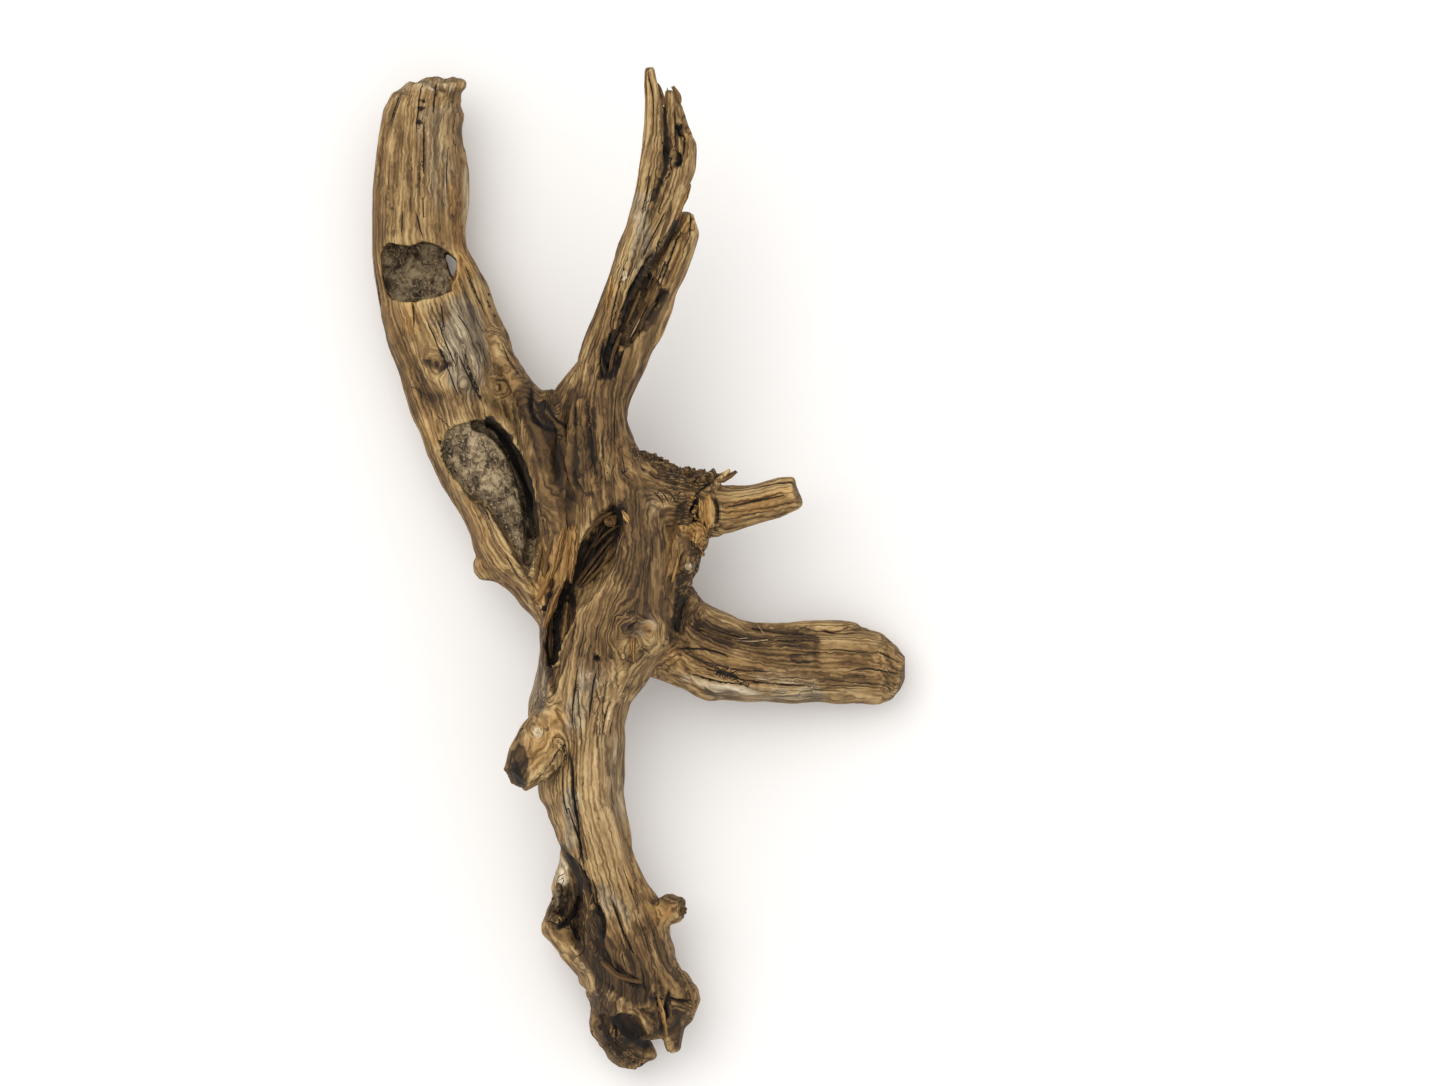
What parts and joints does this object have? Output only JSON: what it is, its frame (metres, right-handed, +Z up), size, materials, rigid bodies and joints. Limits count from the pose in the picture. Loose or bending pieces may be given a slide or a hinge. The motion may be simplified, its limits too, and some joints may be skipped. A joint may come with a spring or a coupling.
{
  "type": "piece of driftwood",
  "caption": "Weathered, forked piece of driftwood with broken side limbs, splintered prongs, a rough burl, a twisted root end and rotted hollows; it lies flat on the ground.",
  "frame": {"origin": "on the ground, under the middle of the outline seen from above", "axes": "+Y along the trunk from the root end to the tips of the prongs, +X towards the lower side limb, +Z up"},
  "size_m": [0.2836, 0.5334, 0.127],
  "materials": {
    "wood": "bare, weathered and matte, grey-brown with golden and dark brown streaks along the grain"
  },
  "bodies": {
    "root": {"driftwood": "wood"}
  },
  "joints": []
}
